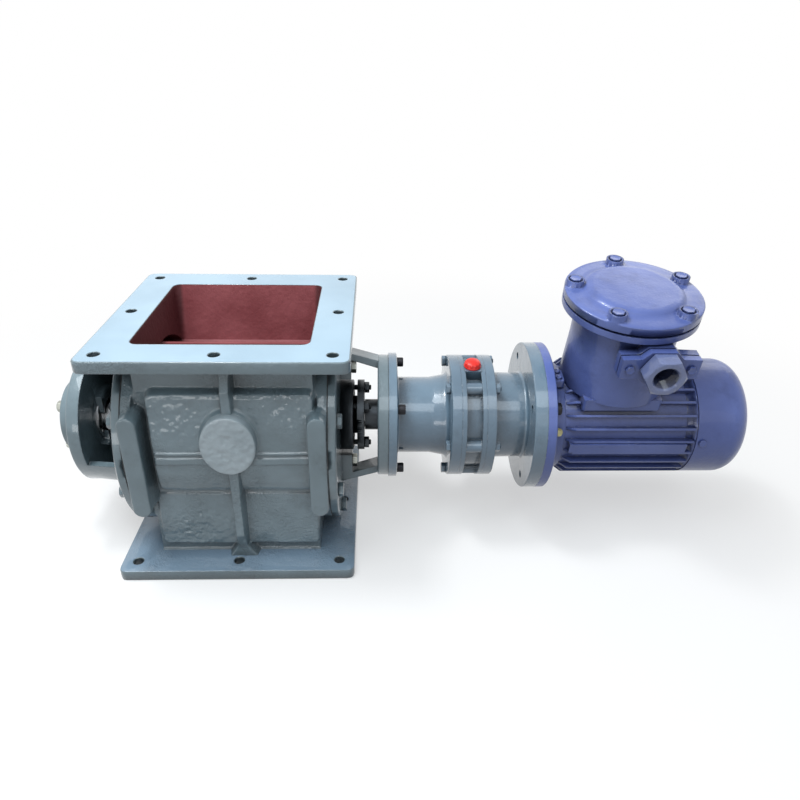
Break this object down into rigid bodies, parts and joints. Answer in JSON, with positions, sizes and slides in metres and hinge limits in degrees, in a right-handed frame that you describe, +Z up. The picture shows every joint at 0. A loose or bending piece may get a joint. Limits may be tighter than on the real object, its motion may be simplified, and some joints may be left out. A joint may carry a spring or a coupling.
{
  "type": "rotary airlock valve",
  "caption": "Cast rotary airlock valve with square flanges, driven through an open bracket by a cycloidal reducer and a flange-mounted flameproof motor.",
  "frame": {"origin": "centre of the outlet flange's lower face", "axes": "+Z up from the outlet to the inlet, +X along the rotor shaft to the motor, -Y toward the cable entry"},
  "size_m": [0.9035, 0.3, 0.3751],
  "materials": {
    "enamel_grey": "glossy cast enamel",
    "enamel_reducer": "glossy cast enamel",
    "enamel_violet": "semi-gloss cast enamel",
    "dark_steel": "oiled",
    "zinc_steel": "zinc plated",
    "black_steel": "black oxide",
    "bright_steel": "ground",
    "red_primer": "matt primer",
    "gasket": "matt",
    "packing": "braided",
    "red_plastic": "gloss",
    "lamination": "laminated",
    "copper": "varnished wire",
    "fan_plastic": "matt",
    "block_plastic": "matt"
  },
  "bodies": {
    "housing": {"valve_body": "enamel_grey", "cover_gaskets": "gasket", "cover_bolts": "enamel_grey", "cover_outboard": "enamel_grey", "drain_plug": "dark_steel", "cover_drive": "enamel_grey", "stuffing_box_outboard": "dark_steel", "stuffing_box_drive": "dark_steel", "gland_outboard": "dark_steel", "gland_drive": "dark_steel", "packing_rings": "packing", "gland_studs": "dark_steel", "gland_nuts": "dark_steel", "outboard_bearing_outer": "bright_steel", "bearing_cap": "enamel_grey", "cap_bolts": "zinc_steel", "bracket": "enamel_grey", "bracket_bolts": "zinc_steel", "reducer_bolts": "black_steel", "output_housing": "enamel_reducer", "tie_bolts": "enamel_reducer", "pin_ring": "enamel_reducer", "ring_pins": "bright_steel", "oil_plug": "red_plastic", "output_bearing_outers": "bright_steel", "input_bearing_outer": "bright_steel", "input_adapter": "enamel_reducer", "adapter_bolts": "black_steel", "flange_shield": "enamel_violet", "earth_screw": "zinc_steel", "motor_frame": "enamel_violet", "rear_shield": "enamel_violet", "fan_cover_screws": "enamel_violet", "stator_core": "lamination", "stator_winding": "copper", "motor_bearing_outers": "bright_steel", "fan_cover": "enamel_violet", "terminal_box": "enamel_violet", "terminal_lid": "enamel_violet", "lid_bolts": "enamel_violet", "terminal_block": "block_plastic", "entry_plate": "enamel_violet", "entry_screws": "enamel_violet", "gland_nut": "enamel_violet"},
    "rotor_line": {"rotor": "red_primer", "rotor_shaft": "bright_steel", "hub_key": "bright_steel", "output_key": "bright_steel", "output_shaft": "dark_steel", "outboard_bearing_inner": "bright_steel", "output_bearing_inners": "bright_steel"},
    "motor_line": {"motor_core": "lamination", "motor_shaft": "bright_steel", "fan": "fan_plastic", "input_shaft": "bright_steel", "eccentric_rollers": "bright_steel", "motor_bearing_inners": "bright_steel", "input_bearing_inner": "bright_steel"},
    "disc_a": {"cycloid_disc_a": "bright_steel"},
    "disc_b": {"cycloid_disc_b": "bright_steel"}
  },
  "joints": [
    {"name": "rotor_spin", "type": "hinge", "parent": "housing", "child": "rotor_line", "pos_m": [0, 0, 0.16], "axis": [1, 0, 0], "continuous": true},
    {"name": "motor_spin", "type": "hinge", "parent": "housing", "child": "motor_line", "pos_m": [0.49, 0, 0.16], "axis": [1, 0, 0], "continuous": true},
    {"name": "disc_a_spin", "type": "hinge", "parent": "motor_line", "child": "disc_a", "pos_m": [0.296, 0.00123, 0.16023], "axis": [1, 0, 0], "continuous": true},
    {"name": "disc_b_spin", "type": "hinge", "parent": "motor_line", "child": "disc_b", "pos_m": [0.311, -0.00123, 0.15977], "axis": [1, 0, 0], "continuous": true}
  ],
  "couplings": [
    {"joint": "motor_spin", "follows": "rotor_spin", "ratio": -29},
    {"joint": "disc_a_spin", "follows": "rotor_spin", "ratio": 30},
    {"joint": "disc_b_spin", "follows": "rotor_spin", "ratio": 30}
  ]
}
